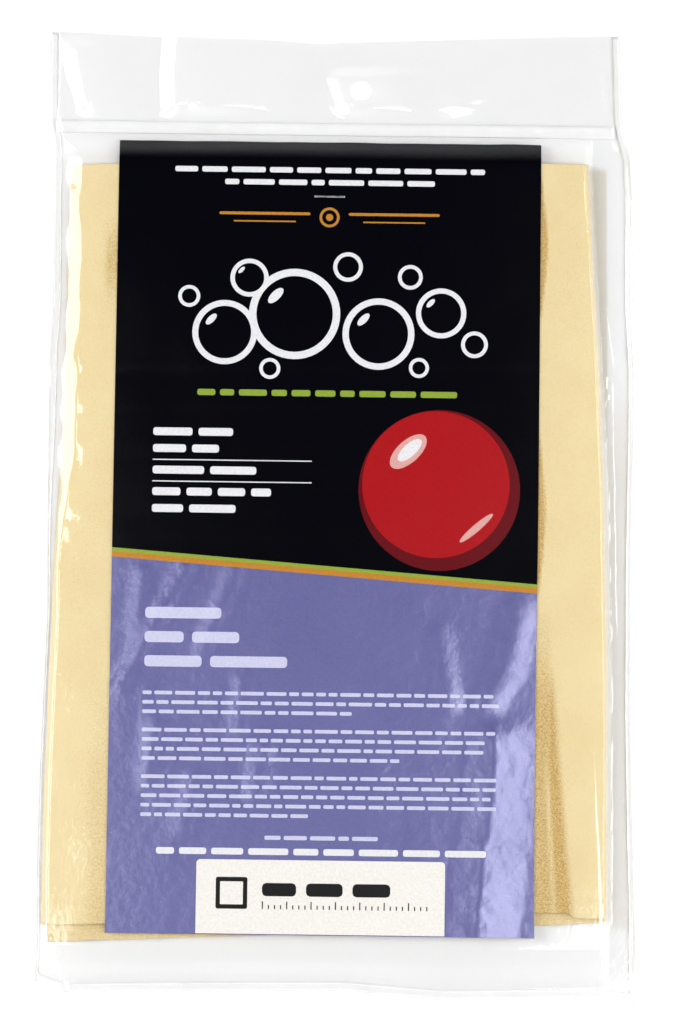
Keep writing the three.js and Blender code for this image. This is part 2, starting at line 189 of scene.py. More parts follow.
# Materials
class Nodes:
    """A material's node tree, with short calls to add and link nodes."""

    def __init__(self, name):
        self.material = bpy.data.materials.new(name)
        self.material.use_nodes = True
        self.tree = self.material.node_tree
        self.tree.nodes.clear()
        self.output = self.add("ShaderNodeOutputMaterial")

    def add(self, kind, values=None, **settings):
        node = self.tree.nodes.new(kind)
        for key, value in settings.items():
            setattr(node, key, value)
        for key, value in (values or {}).items():
            node.inputs[key].default_value = value
        return node

    def link(self, source, target):
        self.tree.links.new(source, target)

    def coordinates(self):
        return self.add("ShaderNodeTexCoord").outputs["Object"]

    def noise(self, scale, detail=2.0, roughness=0.5, where=None):
        node = self.add("ShaderNodeTexNoise", {"Scale": scale, "Detail": detail, "Roughness": roughness})
        self.link(where or self.coordinates(), node.inputs["Vector"])
        return node.outputs["Fac"]

    def range(self, value, low, high, to_low, to_high):
        node = self.add("ShaderNodeMapRange",
                        {"From Min": low, "From Max": high, "To Min": to_low, "To Max": to_high})
        self.link(value, node.inputs["Value"])
        return node.outputs["Result"]

    def math(self, operation, a, b):
        node = self.add("ShaderNodeMath", operation=operation)
        for socket, value in zip(node.inputs, (a, b)):
            if isinstance(value, (int, float)):
                socket.default_value = value
            else:
                self.link(value, socket)
        return node.outputs["Value"]

    def mix(self, factor, a, b):
        node = self.add("ShaderNodeMix", data_type="RGBA")
        self.link(factor, node.inputs["Factor"])
        for socket, colour in ((node.inputs[6], a), (node.inputs[7], b)):
            if isinstance(colour, tuple):
                socket.default_value = (*colour, 1)
            else:
                self.link(colour, socket)
        return node.outputs[2]

    def bump(self, height, strength, distance, normal=None):
        node = self.add("ShaderNodeBump", {"Strength": strength, "Distance": distance})
        self.link(height, node.inputs["Height"])
        if normal:
            self.link(normal, node.inputs["Normal"])
        return node.outputs["Normal"]

    def principled(self, **values):
        node = self.add("ShaderNodeBsdfPrincipled")
        for key, value in values.items():
            node.inputs[key.replace("_", " ")].default_value = value
        self.link(node.outputs["BSDF"], self.output.inputs["Surface"])
        return node


def film_material(name, passes, shine, roughness, haze, ripple, shade_colour=None):
    """Clear polythene: light goes straight through, and the surface mirrors what its slope faces.

    The last argument is the colour that still passes where the film is fully greyed: a warm painted shade, also
    used for grey lines at the film's edges.
    """
    n = Nodes(name)
    where = n.coordinates()
    fine = n.noise(420, 2.0, 0.5, where)
    normal = n.bump(fine, ripple, 0.0004)
    facing = n.add("ShaderNodeLayerWeight", {"Blend": 0.5})
    n.link(normal, facing.inputs["Normal"])
    grazing = n.math("POWER", facing.outputs["Facing"], 4.0)
    mirror = n.math("MINIMUM", n.math("ADD", n.math("MULTIPLY", grazing, 0.8), shine), 0.9)
    clear = n.add("ShaderNodeBsdfTransparent", {"Color": (*passes, 1)})
    # Painted shade: where the attribute says so, the film passes a darker, warm colour in place of its clear
    # one.
    if shade_colour:
        shade_share = n.add("ShaderNodeAttribute", attribute_name="film_shade_and_edges").outputs["Fac"]
        n.link(n.mix(shade_share, passes, shade_colour), clear.inputs["Color"])
    gloss = n.add("ShaderNodeBsdfGlossy", {"Color": (1, 1, 1, 1), "Roughness": roughness})
    n.link(normal, gloss.inputs["Normal"])
    milk = n.add("ShaderNodeBsdfDiffuse", {"Color": (0.975, 0.975, 0.975, 1)})
    cloud = n.range(n.noise(60, 3.0, 0.6, where), 0.3, 0.75, haze * 0.9, haze)
    body = n.add("ShaderNodeMixShader")
    n.link(cloud, body.inputs[0])
    n.link(clear.outputs[0], body.inputs[1])
    n.link(milk.outputs[0], body.inputs[2])
    top = n.add("ShaderNodeMixShader")
    n.link(mirror, top.inputs[0])
    n.link(body.outputs[0], top.inputs[1])
    n.link(gloss.outputs[0], top.inputs[2])
    n.link(top.outputs[0], n.output.inputs["Surface"])
    return n.material


def suede_material():
    """Chamois: a pale, soft nap with a darker, open suede where the tone attribute says so. The same attribute
    also paints the card's shadows as dark suede and a highlight as paler nap on a ridge.
    """
    n = Nodes("chamois_suede")
    where = n.coordinates()
    tone = n.add("ShaderNodeAttribute", attribute_name="tone").outputs["Fac"]
    nap = n.noise(1500, 4.0, 0.65, where)
    cloud = n.noise(38, 4.0, 0.6, where)
    fleck = n.noise(1500, 4.0, 0.75, where)
    # The pale nap also serves as the painted highlight on the ridge.
    soft = n.mix(n.range(cloud, 0.35, 0.68, 0, 1), (0.83, 0.68, 0.375), (0.795, 0.635, 0.335))
    # The open suede colour also serves for the painted shadows of the card.
    open_nap_and_shadow = n.mix(n.range(fleck, 0.4, 0.62, 0, 1), (0.46, 0.28, 0.066), (0.67, 0.445, 0.133))
    ragged = n.math("ADD", tone, n.range(fleck, 0.35, 0.65, 0.18, -0.18))
    mixed = n.mix(n.range(ragged, 0.08, 0.92, 0, 1), soft, open_nap_and_shadow)
    grain = n.mix(n.range(nap, 0.3, 0.7, 0, 0.2), mixed, (0.96, 0.86, 0.6))
    shader = n.principled(Roughness=0.92, Sheen_Weight=0.25, Sheen_Roughness=0.5)
    shader.inputs["Specular IOR Level"].default_value = 0.12
    n.link(grain, shader.inputs["Base Color"])
    rough = n.bump(n.math("ADD", nap, n.math("MULTIPLY", fleck, 0.8)), 0.55, 0.0003)
    n.link(n.bump(cloud, 0.2, 0.0012, rough), shader.inputs["Normal"])
    return n.material


def print_material(name, colour, roughness=0.2, gloss=0.2, metallic=0.0, crumple=0.0):
    """Ink on coated paper: a faint mottle in the solid and the paper's fibre below it, crumpled where worn."""
    n = Nodes(name)
    where = n.coordinates()
    mottle = n.noise(900, 2.0, 0.6, where)
    darker = tuple(c * 0.88 for c in colour)
    shader = n.principled(Metallic=metallic)
    shader.inputs["Specular IOR Level"].default_value = gloss
    n.link(n.mix(n.range(mottle, 0.3, 0.7, 0, 1), colour, darker), shader.inputs["Base Color"])
    smear = n.noise(45, 3.0, 0.55, where)
    n.link(n.range(smear, 0.2, 0.8, roughness - 0.02, roughness + 0.02), shader.inputs["Roughness"])
    normal = n.bump(n.noise(1400, 3.0, 0.6, where), 0.12, 0.0001)
    if crumple:
        normal = n.bump(n.noise(210, 2.0, 0.55, where), crumple, 0.0002, normal)
    n.link(normal, shader.inputs["Normal"])
    return n.material


def wire_material():
    """Zinc-coated staple wire, drawn along its length."""
    n = Nodes("zinc_wire")
    where = n.coordinates()
    drawn = n.add("ShaderNodeMapping", {"Scale": (200, 3000, 3000)})
    n.link(where, drawn.inputs["Vector"])
    lines = n.noise(1.0, 2.0, 0.5, drawn.outputs["Vector"])
    shader = n.principled(Metallic=1.0)
    n.link(n.mix(n.range(lines, 0.3, 0.7, 0, 1), (0.78, 0.79, 0.80), (0.62, 0.63, 0.65)),
           shader.inputs["Base Color"])
    n.link(n.range(lines, 0.3, 0.7, 0.2, 0.38), shader.inputs["Roughness"])
    n.link(n.bump(lines, 0.2, 0.00005), shader.inputs["Normal"])
    return n.material


# The front film's last colour is a warm painted shade.
FILM_LOOK = film_material("clear_film", (0.985, 0.985, 0.986), 0.072, 0.09, 0.0004, 0.08, (0.84, 0.81, 0.738))
BACK_LOOK = film_material("clear_back_film", (0.985, 0.985, 0.986), 0.05, 0.10, 0.002, 0.08)
WELD_LOOK = film_material("fused_film", (0.997, 0.997, 0.997), 0.012, 0.2, 0.85, 0.2)
ZIP_LOOK = film_material("zip_polythene", (0.998, 0.998, 0.998), 0.01, 0.15, 0.88, 0.1)
SUEDE_LOOK = suede_material()


# Film: columns and rows are closer together where the film bends sharply
def spread(stops):
    """Places from a list of (from, to, spacing) stretches."""
    places = []
    for start, end, spacing in stops:
        count = max(1, round((end - start) / spacing))
        places += [lerp(start, end, k / count) for k in range(count)]
    return places + [stops[-1][1]]


FRONT_COLUMNS = spread([(-HALF_WIDTH, -113, 0.4), (-113, -99.5, 0.65), (-99.5, 6.5, 2.0), (6.5, 14.5, 2.0),
                        (14.5, 100.5, 2.0), (100.5, 104.5, 0.8), (104.5, 117.5, 0.27),
                        (117.5, HALF_WIDTH, 0.6)])
FRONT_ROWS = spread([(-HALF_LENGTH, -172, 1.2), (-172, 60, 1.3), (60, 140, 1.9), (140, 172, 1.0),
                     (172, 180, 2.0), (180, HALF_LENGTH, 1.4)])
BACK_COLUMNS = spread([(-HALF_WIDTH, 6.5, 2.0), (6.5, 14.5, 2.0), (14.5, HALF_WIDTH, 2.0)])
BACK_ROWS = spread([(-HALF_LENGTH, 160, 3.0), (160, 172, 2.0), (172, 180, 2.0), (180, HALF_LENGTH, 1.4)])


def on_outline(x, y):
    """Moves a point of the plain rectangle to the photographed outline."""
    left = table(LEFT_EDGE, y) + HALF_WIDTH
    right = table(RIGHT_EDGE, y) - HALF_WIDTH
    foot, head = table(FOOT_EDGE, x), table(HEAD_EDGE, x)
    moved_x = x + left * ramp(-x, 60, HALF_WIDTH) + right * ramp(x, 60, HALF_WIDTH)
    moved_y = y + foot * ramp(-y, 176, HALF_LENGTH) + head * ramp(y, 168, HALF_LENGTH)
    return moved_x, moved_y


def skin_left(y):
    return table(SKIN_EDGE, y) + 0.4 * wave(0, y, 34, 3.1)


def fold_edge(y):
    return table(FOLD_EDGE, y) + 0.25 * wave(0, y, 45, 61.0)


def left_weld(y):
    """The weld's inner edge. Beside the lower part of the skin it is turned under, and little of it shows."""
    return table(LEFT_EDGE, y) + lerp(0.9, WELD_WIDTH, ramp(y, -20, 60))


def right_weld(y):
    return table(RIGHT_EDGE, y) - WELD_WIDTH


def roof_along(x, y):
    """Height of the film along the middle of the pack: foot, pocket, mouth, zip and header."""
    from_zip = y - ZIP_Y - ZIP_TILT * x
    if from_zip < -ZIP_HALF:
        foot = ramp(y, -196.5, -179) ** 0.8
        mouth = ramp(-from_zip, ZIP_HALF - 1.5, ZIP_HALF + 12)
        return lerp(FILM_SEAT, FILM_ROOF, foot) + (FILM_OVER_ZIP - FILM_ROOF) * (1 - mouth)
    return lerp(FILM_OVER_ZIP, FILM_SEAT + 0.35, ramp(from_zip, ZIP_HALF, ZIP_HALF + 7))


def right_crease(y):
    return fold_edge(y) + 1.7 + 0.35 * wave(0, y, 9, 5.2)


def right_drape(x, y):
    """The film beside the fold: it drops to a crease and rises a little from there to the weld."""
    edge = right_weld(y)
    crease = right_crease(y)
    start = fold_edge(y) - 1.2 + 0.3 * wave(0, y, 38, 4.4)
    if x <= start:
        return 1.0
    down = max(0.0, 1 - ((x - start) / (crease - start)) ** 1.15)
    rise = max(0.0, x - crease) * 0.008 * (1 - ramp(x, edge, edge + 2.4))
    return down * 0.98 + 0.02 + rise


def step(x, middle, half, slope):
    """A small drop to the right, which catches the light as a thin line."""
    return slope * half * (1 - ramp(x, middle - half, middle + half))


def creases(x, y):
    """Sharp folds in the film, as heights to add."""
    high = 0.0
    line = fold_edge(y) + 2.6 + 0.3 * wave(0, y, 4.5, 8.8) + 0.35 * wave(0, y, 9, 5.2)
    broken = min(1.0, max(0.3, 0.8 + 1.2 * wave(0, y, 6, 12.0)))
    beside = ramp(y, -178, -168) * (1 - ramp(y, 44, 58))
    high += beside * broken * step(x, line, 0.5, STEP_SLOPE)
    high += beside * ramp(y, -75, -40) * step(x, line + 2.2 + 0.02 * max(0.0, y), 0.4, STEP_SLOPE)
    high += ramp(-y, 92, 104) * step(x, table(FOOT_LINE, y), lerp(0.25, 0.42, ramp(-y, 100, 150)), 0.09)
    if 56 < y < 122:
        (low_x, low_y), (top_x, top_y) = DIAGONAL
        along = (y - low_y) / (top_y - low_y)
        middle = lerp(low_x, top_x, along) + 0.2 * wave(0, y, 10, 2.2)
        ends = ramp(along, 1.03, 0.93) * ramp(along, -0.02, 0.03)
        high += ends * step(x, middle, lerp(0.6, 0.3, along), STEP_SLOPE)
    from_patch = [(p - centre) / reach for p, centre, reach in zip((x, y), CRUMPLED, CRUMPLED_REACH)]
    near = bump(math.hypot(*from_patch), 0, 1)
    if near > 0:
        cell = noise.voronoi(Vector((x / 3.1, y / 4.4, 0.7)))[0]
        high += 0.6 * near * (cell[1] - cell[0])
    if -HALF_LENGTH < y < -176:
        tension = abs((x - CORNER[0]) * CORNER_RUN[1] - (y - CORNER[1]) * CORNER_RUN[0]) / CORNER_LENGTH
        high += 0.6 * bump(tension, 0, 1.6)
        high += 0.35 * bump(x, FOOT_CREASE + 0.3 * wave(0, y, 5, 7), 1.3) * ramp(-y, 183, 189)
    return high


def ripples(x, y):
    """The film's broad, shallow waves over the card and the skin. It stands higher over the crumpled card."""
    lift = 0.3 + 0.9 * ramp(-y, 10, 50)
    return 0.34 * wave(x, y, 46, 2.0) + 0.1 * wave(x, y, 19, 6.0) + lift


def puckers(x, y):
    """Short folds in the film between the left weld and the skin's edge."""
    zone = bump(x, -112.5, 8) * ramp(y, -40, 30) * (1 - ramp(y, *MOUTH))
    return zone * max(-0.5, 1.5 * wave(0.4 * x, y, 15, 31.0) + 0.4 * wave(x, y, 6.5, 33.0))


def header_waves(x, y):
    """Broad upright waves in the loose header, with folds that rise steeply and fall away slowly."""
    loose = ramp(y - ZIP_Y - ZIP_TILT * x, 3, 10)
    rise = 0.5 + 0.7 * wave(x - 0.25 * y, y, 34, 41.0, 2.6) + 0.12 * wave(x, y, 11, 43.0, 1.8)
    for middle, lean, steep, slow, height, low, top in HEADER_FOLDS:
        across = x - middle - lean * (y - 180) - 1.6 * wave(0, y, 13, middle)
        shape = ramp(across, -steep / 2, steep / 2) * (1 - ramp(across, steep / 2, steep / 2 + slow))
        rise += height * shape * ramp(y, low, low + 6) * (1 - ramp(y, top, top + 8))
    between_welds = ramp(x - left_weld(y), 0, 6) * ramp(right_weld(y) - x, 0, 6)
    return loose * between_welds * max(0.0, rise)


def front_height(x, y):
    """The front film: a roof that comes down to the welds, with its waves and creases."""
    head = ramp(y, *MOUTH)
    gentle = ramp(y, -30, 30) * (1 - head)
    slope = min(1.0, max(0.0, x - left_weld(y)) / lerp(lerp(4.2, 9.5, gentle), 2.6, head))
    crown = lerp(2.0, 1.55, gentle)
    left = slope * (crown - (crown - 1) * slope)
    right = right_drape(x, y)
    if head > 0:
        right = lerp(right, 1 - ramp(x, right_weld(y) - 2.6, right_weld(y)), head)
    inside = min(left, right)
    high = FILM_SEAT + (roof_along(x, y) - FILM_SEAT) * inside
    pocket = ramp(y, -196, -186) * (1 - ramp(y, 150, 157))
    high += pocket * inside * ripples(x, y) + pocket * puckers(x, y) * left
    if y > ZIP_Y:
        high += header_waves(x, y)
    return max(FILM_SEAT, high + creases(x, y) * (1 - head))


def back_height(x, y):
    """The back film lies flat, and waves with the header."""
    return BACK_FILM + (0.4 * header_waves(x, y) if y > ZIP_Y else 0.0)


def punched(points, columns, rows):
    """Fits the cells nearest the hang hole to its circle. Returns the cells to leave out."""
    column = min(range(len(columns)), key=lambda i: abs(columns[i] - HOLE[0]))
    row = min(range(len(rows)), key=lambda j: abs(rows[j] - HOLE[1]))
    gone = {(i, j) for i in range(column - 2, column + 2) for j in range(row - 2, row + 2)}
    for i in range(column - 2, column + 3):
        for j in range(row - 2, row + 3):
            if max(abs(i - column), abs(j - row)) < 2:
                continue
            p = points[j * len(columns) + i]
            angle = math.atan2(j - row, i - column)
            p[0] = HOLE[0] + HOLE_RADIUS * 1.08 * math.cos(angle)
            p[1] = HOLE[1] + HOLE_RADIUS * 0.94 * math.sin(angle)
    return gone


def film(name, height, columns, rows, material, body, replaces):
    """A film on the photographed outline, with the hang hole left open."""
    points = []
    for y0 in rows:
        for x0 in columns:
            x, y = on_outline(x0, y0)
            points.append([x, y, height(x, y0)])
    gone = punched(points, columns, rows)
    wide = len(columns)
    faces = [(j * wide + i, j * wide + i + 1, (j + 1) * wide + i + 1, (j + 1) * wide + i)
             for j in range(len(rows) - 1) for i in range(wide - 1) if (i, j) not in gone]
    used, faces = compact(faces)
    return make(name, [points[k] for k in used], faces, [material], body, replaces)


def peel(piece):
    """The lip bends open in the middle and stays joined to the back at both welds."""
    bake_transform(piece, "bag", "front_lip", start=(0, (HINGE_Y - 30) * MM, 0), end=(0, (HINGE_Y + 26) * MM, 0))
    weights = piece.data.attributes["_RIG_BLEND"].data
    for vertex, weight in zip(piece.data.vertices, weights):
        weight.value *= ramp(abs(vertex.co.x) / MM, PEEL_HELD, PEEL_FREE)


def film_shade_and_edges(x, y):
    """How far the film is greyed: painted shade beside the fold and, faintly, over the foot and the header, and
    grey lines at its cut edges, beside the right weld and along the zip.
    """
    left_edge, right_edge = table(LEFT_EDGE, y), table(RIGHT_EDGE, y)
    # Painted shade beside the fold, narrow at the top and reaching the weld towards the foot, warm as if lit by
    # the leather.
    beside = ramp(x, fold_edge(y) + 0.3, fold_edge(y) + 1.8)
    beside *= (1 - ramp(y, 141.5, 144.5)) * ramp(y, -176, -171)
    narrow = 0.75 * (1 - ramp(x, 112.6, 113.8))
    wide = 0.38 * (1 - ramp(x, right_edge - 2.6, right_edge - 0.8))
    shade = beside * lerp(narrow, wide, ramp(60 - y, 0, 45))
    rim = max(bump(x, left_edge, 0.9), bump(x, right_edge, 0.9), 0.6 * bump(x, right_weld(y), 0.9))
    rim *= max(0.0, 0.55 + 0.9 * wave(x, y, 7, 17.0))
    from_zip = y - ZIP_Y - ZIP_TILT * x
    lines = 0.1 * bump(from_zip, -1.7, 0.9) + 0.1 * bump(from_zip, 2.6, 0.9)
    # A faint painted shade over the foot and the header, where the two films lie together.
    empty = 0.04 * max(ramp(-y, 176, 182), ramp(from_zip, 3, 8))
    return min(1.0, shade + rim + lines + empty)


front_film = film("bag_front_film", front_height, FRONT_COLUMNS, FRONT_ROWS, FILM_LOOK, None,
                  ["bag_front_panel", "front_lip"])
peel(front_film)
# The film's painted shade and edge lines, kept per point.
painted_shade = front_film.data.attributes.new("film_shade_and_edges", "FLOAT", "POINT")
painted_shade.data.foreach_set("value", [film_shade_and_edges(v.co.x / MM, v.co.y / MM) for v in front_film.data.vertices])
film("bag_back_film", back_height, BACK_COLUMNS, BACK_ROWS, BACK_LOOK, "bag", ["bag_back_panel"])


# Strips: a closed profile carried along a path of frames
def strip(name, path, profile, material, body, replaces):
    """path gives (point, across, up) at each station; profile is a closed loop of (across, up) pairs."""
    points = []
    for origin, across, up in path:
        for a, b in profile:
            points.append([origin[k] + across[k] * a + up[k] * b for k in range(3)])
    size = len(profile)
    faces = []
    for s in range(len(path) - 1):
        for k in range(size):
            m = (k + 1) % size
            faces.append((s * size + k, s * size + m, (s + 1) * size + m, (s + 1) * size + k))
    faces.append(tuple(range(size - 1, -1, -1)))
    last = (len(path) - 1) * size
    faces.append(tuple(range(last, last + size)))
    return make(name, points, faces, [material], body, replaces)


def side_weld(name, edge, inner, side, node):
    """The fused, slightly pinched edge on the left (side -1) or the right (side 1)."""
    path = []
    for y in SIDE_STATIONS:
        x = table(edge, y)
        _, outline_y = on_outline(x, y)
        pinch = 0.05 * math.sin(y * 2.1) + 0.05 * wave(0, y, 4, side)
        width = abs(inner(y) - x) / WELD_WIDTH
        path.append(((x - side * 0.05, outline_y, 0.12), (-side * width, 0, 0), (0, 0, 1 + pinch)))
    profile = [(0.0, 0.02), (WELD_WIDTH, 0.0), (WELD_WIDTH, 0.14), (WELD_WIDTH - 0.5, 0.17), (1.4, 0.13),
               (0.7, 0.15), (0.25, 0.3), (0.0, 0.2)]
    if side > 0:
        profile = profile[::-1]
    return strip(name, path, profile, WELD_LOOK, "bag", [node])


side_weld("left_weld_strip", LEFT_EDGE, left_weld, -1, "left_side_weld")
side_weld("right_weld_strip", RIGHT_EDGE, right_weld, 1, "right_side_weld")


def bottom_weld():
    path = []
    for x in FOOT_STATIONS:
        moved_x, y = on_outline(x, -HALF_LENGTH)
        pinch = 0.08 * wave(x, 0, 5, 8.0)
        path.append(((moved_x, y + 0.05, 0.12), (0, 1, 0), (0, 0, 1 + pinch)))
    profile = [(0.0, 0.0), (0.0, 0.2), (0.3, 0.3), (0.8, 0.16), (2.2, 0.14), (2.8, 0.24), (FOOT_WELD, 0.15),
               (FOOT_WELD, 0.0)]
    return strip("bottom_weld_strip", path, profile, WELD_LOOK, "bag", ["bottom_weld"])


bottom_weld()


def zip_path(height):
    """Stations along the zip, which is a little wavy."""
    path = []
    for x in ZIP_STATIONS:
        y = ZIP_Y + ZIP_TILT * x + 0.25 * wave(x, 0, 40, 15.0)
        path.append(((x, y, height), (0, 1, 0), (0, 0, 1)))
    return path


RIB_PROFILE = [(-2.4, 0.0), (-2.5, -0.1), (-2.4, -0.2), (-0.36, -0.22), (-0.3, -0.45), (-0.34, -0.6),
               (-0.18, -0.74), (0.0, -0.78), (0.18, -0.74), (0.34, -0.6), (0.3, -0.45), (0.36, -0.22),
               (2.4, -0.2), (2.5, -0.1), (2.4, 0.0), (1.3, 0.05), (0.9, 0.13), (0.5, 0.05), (-0.5, 0.05),
               (-0.9, 0.13), (-1.3, 0.05)]
GROOVE_PROFILE = [(-2.4, 0.0), (2.4, 0.0), (2.5, 0.1), (2.4, 0.2), (1.5, 0.22), (1.25, 0.5), (1.0, 0.68),
                  (0.72, 0.66), (0.58, 0.52), (0.6, 0.24), (-0.6, 0.24), (-0.58, 0.52), (-0.72, 0.66),
                  (-1.0, 0.68), (-1.25, 0.5), (-1.5, 0.22), (-2.4, 0.2), (-2.5, 0.1)]
zip_rib = strip("zip_rib_strip", zip_path(1.12), RIB_PROFILE, ZIP_LOOK, None, ["zip_rib_track"])
peel(zip_rib)
strip("zip_groove_strip", zip_path(0.1), GROOVE_PROFILE, ZIP_LOOK, "bag", ["zip_groove_track"])


# Skin: stations run round the section, from the lower free edge, through the fold, to the upper free edge
FOLD_RADIUS = (LEAF_GAP + SKIN) / 2
FOLD_MIDDLE = LOWER_LEAF + SKIN / 2 + FOLD_RADIUS
LEAF_SHARES = [k / 26 * 0.14 for k in range(26)] + [0.14 + 0.86 * k / 78 for k in range(79)]
SKIN_ROWS = 150
FOLD_STEPS = 12

# How far in from a free edge the sheet sags, and how its cut edges are rounded: depth in millimetres, and the
# share of the leaf by which its faces stop short
SAG_WIDTH = 16
EDGE_DEPTH = 0.12
EDGE_SHARE = 0.0012


def leaf_end(side, x):
    """The cut lower edge of each leaf."""
    share = (FOLD_BOTTOM - x) / LEAF_WIDTH
    if side > 0:
        end = lerp(-168.6, UPPER_LEAF_END, ramp(share, 0.0, 1.0))
        end += 2.2 * ramp(share, 0.05, 0.06) * (1 - ramp(share, 0.12, 0.2))
        return end + 0.35 * wave(x, 0, 21, 62.0)
    return lerp(-170.2, LOWER_LEAF_END, min(1.0, max(0.0, share)) ** 0.8) + 0.3 * wave(x, 0, 25, 63.0)


def bare_end(y):
    """Right side of the open suede beside the card, which is a wedge that widens downwards."""
    return 89.5 + 8.5 * min(1.0, max(0.0, (-62 - y) / 108)) + 0.8 * wave(0, y, 30, 64.0)


def ridge_middle(y):
    return 86.6 + 0.05 * max(0.0, -105 - y)


def card_edge(y):
    """The card's right side."""
    return CARD_CENTRE[0] + CARD_SIZE[0] / 2 - math.tan(CARD_TILT) * (y - CARD_CENTRE[1])


def leaf_lift(x, y):
    """Ridge, ledge and swell in the upper leaf, its turn into the fold, and the sag of its free edge."""
    ridge = 0.4 * ramp(-y, 80, 130) * bump(x, ridge_middle(y), 2.2)
    ledge = 0.3 * ramp(-y, 45, 75) * ramp(x, bare_end(y) - 2.5, bare_end(y) + 1.0)
    swell = 0.07 * wave(x, y, 34, 65.0, 1.7) + 0.04 * wave(x, y, 9, 66.0, 2.2)
    edge = 0.25 * max(0.0, wave(0, y, 40, 67.0)) * bump(x, skin_left(y), 12)
    edge -= lerp(1.3, 1.75, ramp(-y, -60, 20)) * (1 - ramp(x, skin_left(y), skin_left(y) + SAG_WIDTH))
    edge -= 0.5 * ramp(x, fold_edge(y) - 6, fold_edge(y) - 1)
    hidden = ramp(x, -100, -90) * (1 - ramp(x, 80, 86))
    return lerp(ridge + ledge + swell + edge, -0.05, hidden)


def leaf_tone(x, y, side):
    """0 on the smooth, pale nap and 1 on the open suede. It also holds painted shadows of the card beside its
    edges, and a painted highlight on the ridge.
    """
    if side <= 0:
        return 0.28
    right = ramp(x, 78, 82)
    by_card = 0.72 * ramp(-y, 30, 90) * (1 - ramp(x, 87.5, 89.5))
    wedge = ramp(-y, 50, 78) * ramp(x, 87.4, 89.0) * (1 - ramp(x, bare_end(y) - 3.2, bare_end(y) + 1.6))
    # Painted highlight: the ridge's crest is made paler.
    ridge = 0.6 * ramp(-y, 95, 130) * bump(x, ridge_middle(y) + 0.2, 1.7)
    left = 0.34 * ramp(-y, 40, 150) * ramp(x, -106, -98) * (1 - ramp(x, -90, -84))
    worn = 0.08 * max(0.0, wave(x, y, 28, 71.0, 2.0))
    # Painted shadow of the card: dark crescents along its right side.
    curl = max(bump(y, 109, 36), bump(y, -3, 42))
    reach = card_edge(y) + 2.9 * curl
    card_shadow = ramp(curl, 0.0, 0.2) * (1 - ramp(x, reach - 0.8, reach + 0.6))
    # Painted shadow under the card's left edge, near its top.
    left += 0.6 * bump(y, 104, 24) * ramp(x, -98, -95) * (1 - ramp(x, -90, -84))
    return min(1.0, max(0.0, right * (max(by_card, wedge) - ridge + card_shadow) + left + worn))


def skin_point(side, share, turn, row, offset):
    """A point of the sheet. side is 1 on the upper leaf, -1 on the lower one and 0 in the fold.

    share runs from the fold to the free edge, turn goes round the fold, row runs from the head to the foot, and
    offset is the distance from the middle of the thickness.
    """
    guess = SKIN_TOP + (UPPER_LEAF_END - SKIN_TOP) * row
    fold = fold_edge(guess) - FOLD_RADIUS - SKIN / 2
    free = skin_left(guess) + (2.6 if side < 0 else 0.0)
    x = lerp(fold, free, share)
    y = lerp(SKIN_TOP + 0.5 * wave(x, 0, 30, 68.0), leaf_end(side, x), row)
    if side == 0:
        reach = FOLD_RADIUS + offset
        end = lerp(leaf_end(-1, fold), leaf_end(1, fold), (turn / math.pi) + 0.5)
        y = lerp(SKIN_TOP + 0.5 * wave(fold, 0, 30, 68.0), end, row)
        lift = leaf_lift(fold, y) * ramp(turn, -1.6, 1.6)
        return [fold + reach * math.cos(turn), y, FOLD_MIDDLE + reach * math.sin(turn) + lift]
    lift = leaf_lift(x, y) if side > 0 else -0.75 * (1 - ramp(x, free, free + SAG_WIDTH))
    return [x, y, FOLD_MIDDLE + side * (FOLD_RADIUS + offset) + lift]


def skin():
    """The folded sheet, closed by its cut edges."""
    turns = [-math.pi / 2 + math.pi * k / FOLD_STEPS for k in range(1, FOLD_STEPS)]
    stations = [(-1, s, 0) for s in reversed(LEAF_SHARES)]
    stations += [(0, 0, t) for t in turns]
    stations += [(1, s, 0) for s in LEAF_SHARES]
    wide = len(stations)
    layers = [SKIN / 2, SKIN / 2 - EDGE_DEPTH, -SKIN / 2 + EDGE_DEPTH, -SKIN / 2]
    points = []
    tones = []
    for depth, offset in enumerate(layers):
        short = 0.0 if depth in (1, 2) else EDGE_SHARE
        for r in range(SKIN_ROWS):
            row = lerp(short, 1 - short, r / (SKIN_ROWS - 1))
            for side, share, turn in stations:
                p = skin_point(side, share * (1 - short), turn, row, offset)
                points.append(p)
                tones.append(leaf_tone(p[0], p[1], side))
    size = wide * SKIN_ROWS
    faces = []
    for r in range(SKIN_ROWS - 1):
        for i in range(wide - 1):
            a = r * wide + i
            faces.append((a, a + wide, a + wide + 1, a + 1))
            b = 3 * size + a
            faces.append((b, b + 1, b + wide + 1, b + wide))
    rim = list(range(wide - 1))
    rim += [r * wide + wide - 1 for r in range(SKIN_ROWS - 1)]
    rim += [(SKIN_ROWS - 1) * wide + i for i in range(wide - 1, 0, -1)]
    rim += [r * wide for r in range(SKIN_ROWS - 1, 0, -1)]
    for depth in range(3):
        for k in range(len(rim)):
            a, b = rim[k], rim[(k + 1) % len(rim)]
            faces.append((depth * size + a, depth * size + b, (depth + 1) * size + b, (depth + 1) * size + a))
    used, faces = compact(faces)
    piece = make("chamois_leaves", [points[k] for k in used], faces, [SUEDE_LOOK], "contents",
                 ["chamois_skin"])
    # The tone attribute holds the suede's colour together with its painted shadows and highlight.
    tone = piece.data.attributes.new("tone", "FLOAT", "POINT")
    tone.data.foreach_set("value", [tones[k] for k in used])
    return piece


leather = skin()


